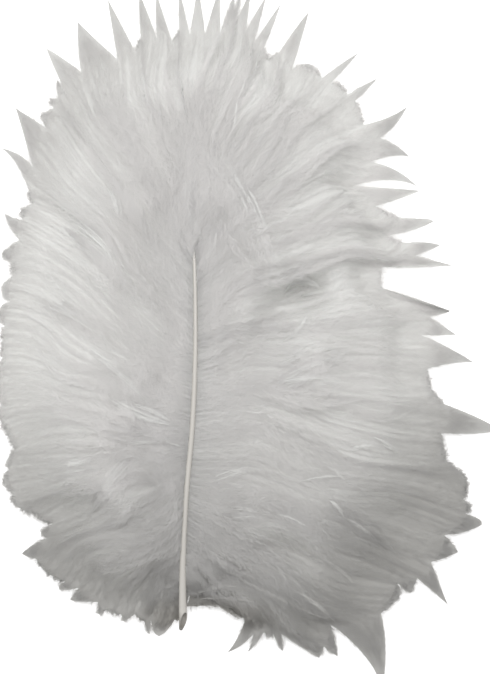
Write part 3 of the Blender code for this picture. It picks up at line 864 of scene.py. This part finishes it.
def add(tree, kind, settings=None, **links):
    """A node of this kind with its settings and links. A link's name is its socket's, or its number."""
    node = tree.nodes.new(kind)
    for name, value in (settings or {}).items():
        if name in node.inputs:
            node.inputs[name].default_value = value
        else:
            setattr(node, name, value)
    for name, source in links.items():
        socket = node.inputs[int(name[1:])] if name[1:].isdigit() else node.inputs[name.replace("_", " ")]
        tree.links.new(source, socket)
    return node


def empty_material(name):
    """A material whose nodes are all still to be added."""
    material = bpy.data.materials.new(name)
    material.use_nodes = True
    material.node_tree.nodes.clear()
    return material


def away_from(tree, where, oval):
    """How far each place lies from the middle of an oval on plan; one is on the oval's line."""
    x, y, wide, long = (value * MM for value in oval)
    scaled = {"Location": (-x / wide, -y / long, 0.0), "Scale": (1 / wide, 1 / long, 0.0)}
    moved = add(tree, "ShaderNodeMapping", scaled, _0=where.outputs["Object"])
    return add(tree, "ShaderNodeVectorMath", {"operation": "LENGTH"}, _0=moved.outputs[0]).outputs["Value"]


def down_with_painted_shade(name, light, dark, through):
    """White down keratin, washed and dried, with painted shade: greyer towards the quill and at the rims, and a
    painted shadow round the quill's mouth; through is the share of light from behind.
    """
    material = empty_material(name)
    tree = material.node_tree
    where = add(tree, "ShaderNodeTexCoord")
    clumps = add(tree, "ShaderNodeTexNoise", {"Scale": 90.0, "Detail": 3.0}, Vector=where.outputs["Object"])
    # painted shade, greyer towards the quill
    upwards = add(tree, "ShaderNodeVectorMath", {"operation": "DOT_PRODUCT"}, _0=where.outputs["Object"])
    upwards.inputs[1].default_value = PAINTED_SHADE_WAY
    upwards = add(tree, "ShaderNodeMapRange", {"From Min": -0.061, "From Max": -0.004}, Value=upwards.outputs["Value"])
    uneven = add(tree, "ShaderNodeMath", {"operation": "MULTIPLY_ADD"}, _0=clumps.outputs[0], _2=upwards.outputs[0])
    uneven.inputs[1].default_value = 0.3
    # painted shade: greyer outside the rim oval, over the rims and points
    outside = {"From Min": 0.78, "From Max": 1.1, "To Max": 0.42}
    outside = add(tree, "ShaderNodeMapRange", outside, Value=away_from(tree, where, RIM_OVAL))
    tone_with_painted_shade = add(tree, "ShaderNodeMath", {"operation": "SUBTRACT"}, _0=uneven.outputs[0], _1=outside.outputs[0])
    ramp = add(tree, "ShaderNodeValToRGB", _0=tone_with_painted_shade.outputs[0])
    ramp.color_ramp.elements[0].position = 0.2
    ramp.color_ramp.elements[0].color = colour(dark)
    ramp.color_ramp.elements[1].position = 1.0
    ramp.color_ramp.elements[1].color = colour(light)
    # painted shadow: the down is painted dark round the quill's mouth
    inside = {"From Min": 0.5, "From Max": 1.4, "To Min": 0.75, "To Max": 0.0}
    inside = add(tree, "ShaderNodeMapRange", inside, Value=away_from(tree, where, QUILL_SHADOW_OVAL))
    painted_quill_shadow = add(tree, "ShaderNodeMix", {"data_type": "RGBA"}, _0=inside.outputs[0], _6=ramp.outputs[0])
    painted_quill_shadow.inputs[7].default_value = colour("#8A867F")
    surface = add(
        tree, "ShaderNodeBsdfPrincipled",
        {"Roughness": 0.6, "IOR": KERATIN_IOR, "Sheen Weight": 0.25, "Sheen Roughness": 0.4},
        Base_Color=painted_quill_shadow.outputs[2],
    )
    behind = add(tree, "ShaderNodeBsdfTranslucent", Color=painted_quill_shadow.outputs[2])
    both = add(tree, "ShaderNodeMixShader", {"Fac": through}, _1=surface.outputs[0], _2=behind.outputs[0])
    add(tree, "ShaderNodeOutputMaterial", Surface=both.outputs[0])
    return material


def ivory_shaft():
    """Shaft keratin: smooth, satin and faintly ivory, with painted shade that darkens the quill's hollow end."""
    material = empty_material("satin_keratin_shaft")
    tree = material.node_tree
    where = add(tree, "ShaderNodeTexCoord")
    height = add(tree, "ShaderNodeSeparateXYZ", Vector=where.outputs["Object"])
    # painted shade: the quill's hollow end is painted darker
    along_y = add(tree, "ShaderNodeMapRange", {"From Min": -0.0515, "From Max": -0.0485}, Value=height.outputs[1])
    tone = add(tree, "ShaderNodeValToRGB", _0=along_y.outputs[0])
    tone.color_ramp.elements[0].color = colour("#77736D")
    tone.color_ramp.elements[1].color = colour("#BFBCB6")
    surface = add(
        tree, "ShaderNodeBsdfPrincipled",
        {"Roughness": 0.35, "IOR": KERATIN_IOR, "Coat Weight": 0.1},
        Base_Color=tone.outputs[0],
    )
    add(tree, "ShaderNodeOutputMaterial", Surface=surface.outputs[0])
    return material


# The three down materials are lit and shaded copies of one keratin: the packed inner down is painted darker as shade
# between the strands, and the loose strands are painted lighter as a highlight.
down_material = down_with_painted_shade("washed_white_down", "#F4F3F2", "#CDCCCA", 0.6)
packed_shade_material = down_with_painted_shade("packed_down_painted_shade", "#EAEAE8", "#C6C5C2", 0.45)
loose_highlight_material = down_with_painted_shade("loose_down_painted_highlight", "#FAFAF8", "#E4E3E0", 0.4)
for piece in pieces:
    loose = "loose" in piece.name
    piece.data.materials.append(packed_shade_material if piece is body else loose_highlight_material if loose else down_material)
shaft.data.materials.append(ivory_shaft())
print("materials:", [material.name for material in bpy.data.materials if material.users])

# %% [markdown]
# Every piece rides on the feather's one body and stands for the solid, which is then hidden. A flat
# map from above is stored too, so that colours keep their places when the model is taken elsewhere.

# %% Join the pieces to the frame
WIDE, LONG = solid_high[0] - solid_low[0], solid_high[1] - solid_low[1]


def map_from_above(piece):
    """A flat map of the piece, seen from above, over the feather's footprint."""
    mesh = piece.data
    co = np.empty(len(mesh.vertices) * 3, np.float32)
    mesh.vertices.foreach_get("co", co)
    corner = np.empty(len(mesh.loops), np.int32)
    mesh.loops.foreach_get("vertex_index", corner)
    flat = co.reshape(-1, 3)[corner, :2]
    flat = (flat - (solid_low[0], solid_low[1])) / max(WIDE, LONG)
    mesh.uv_layers.new(name="OFBake").data.foreach_set("uv", (0.02 + 0.96 * flat).astype(np.float32).ravel())


for piece in [*pieces, shaft]:
    map_from_above(piece)
    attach(piece, "root")
    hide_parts("feather")
print("triangles in all:", sum(len(p.vertices) - 2 for piece in [*pieces, shaft] for p in piece.data.polygons))

# %% [markdown]
# The feather is photographed from straight above on white. A portrait lens well above it keeps
# parallel lines nearly parallel. Down shows its form only in soft light from one side, so a broad
# lamp stands at the upper left, and the rest of the room gives an even fill.

# %% Floor, light and camera
PICTURE = (490, 674)
MM_PER_PIXEL = 0.178
CAMERA_HEIGHT = 0.45


def pale_floor():
    """A white table."""
    mesh = bpy.data.meshes.new("table")
    half = 1.5
    mesh.from_pydata([(-half, -half, 0), (half, -half, 0), (half, half, 0), (-half, half, 0)], [], [(0, 1, 2, 3)])
    table = bpy.data.objects.new("table", mesh)
    bpy.context.scene.collection.objects.link(table)
    material = empty_material("white_table")
    surface = add(material.node_tree, "ShaderNodeBsdfPrincipled", {"Roughness": 0.9})
    surface.inputs["Base Color"].default_value = colour("#F4F4F4")
    surface.inputs["Emission Color"].default_value = colour("#FFFFFF")
    surface.inputs["Emission Strength"].default_value = 0.55
    add(material.node_tree, "ShaderNodeOutputMaterial", Surface=surface.outputs[0])
    mesh.materials.append(material)


def soft_lamp(name, at, size, power):
    """A square soft lamp that faces the feather."""
    data = bpy.data.lights.new(name, "AREA")
    data.size = size
    data.energy = power
    lamp = bpy.data.objects.new(name, data)
    lamp.location = at
    lamp.rotation_euler = (Vector((0, 0, 0)) - Vector(at)).to_track_quat("-Z", "Y").to_euler()
    bpy.context.scene.collection.objects.link(lamp)


def camera_above():
    """The camera, straight above the middle of the picture."""
    data = bpy.data.cameras.new("camera")
    data.sensor_width = 36
    data.lens = data.sensor_width * CAMERA_HEIGHT / (PICTURE[1] * MM_PER_PIXEL * MM)
    data.clip_start = 0.01
    camera = bpy.data.objects.new("camera", data)
    camera.location = (0, 0, CAMERA_HEIGHT)
    bpy.context.scene.collection.objects.link(camera)
    bpy.context.scene.camera = camera
    return data


pale_floor()
soft_lamp("window", (-0.08, 0.22, 0.52), 0.40, 2.45)
world = bpy.data.worlds.new("room")
world.use_nodes = True
world.node_tree.nodes["Background"].inputs["Color"].default_value = colour("#FFFFFF")
world.node_tree.nodes["Background"].inputs["Strength"].default_value = 0.62
bpy.context.scene.world = world
bpy.context.scene.view_settings.view_transform = "Standard"
print("lens, mm:", round(camera_above().lens, 1))
